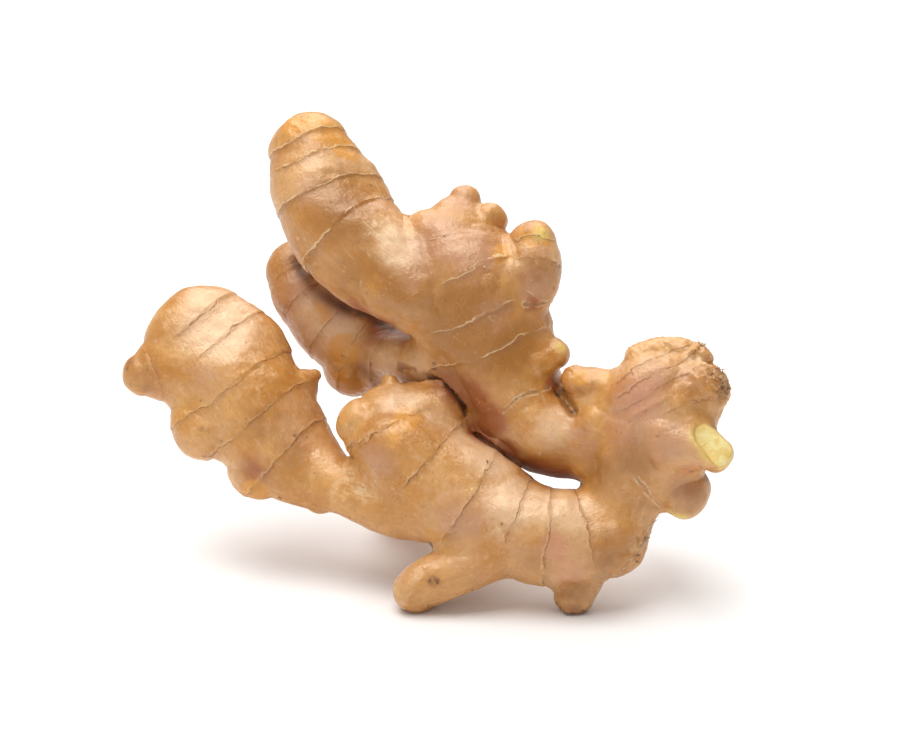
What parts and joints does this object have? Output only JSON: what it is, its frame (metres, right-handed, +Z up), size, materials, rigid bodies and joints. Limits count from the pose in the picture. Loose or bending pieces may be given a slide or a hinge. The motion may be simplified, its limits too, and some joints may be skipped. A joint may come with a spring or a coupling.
{
  "type": "ginger root",
  "caption": "Fresh ginger rhizome: thick ringed fingers branching from one knobbly body, with side buds, a ragged stalk scar and three stubby buds that it rests on.",
  "frame": {"origin": "the point on the resting surface under the middle of the root's bounding box", "axes": "+Z up; +X along the root's length, from the fat left finger to the stalk scar; +Y towards the back, where the upper fingers lean"},
  "size_m": [0.1659, 0.0837, 0.1226],
  "materials": {
    "ginger_skin": "thin fresh skin, satin, slightly translucent"
  },
  "bodies": {
    "root": {"ginger_root": "ginger_skin"}
  },
  "joints": []
}
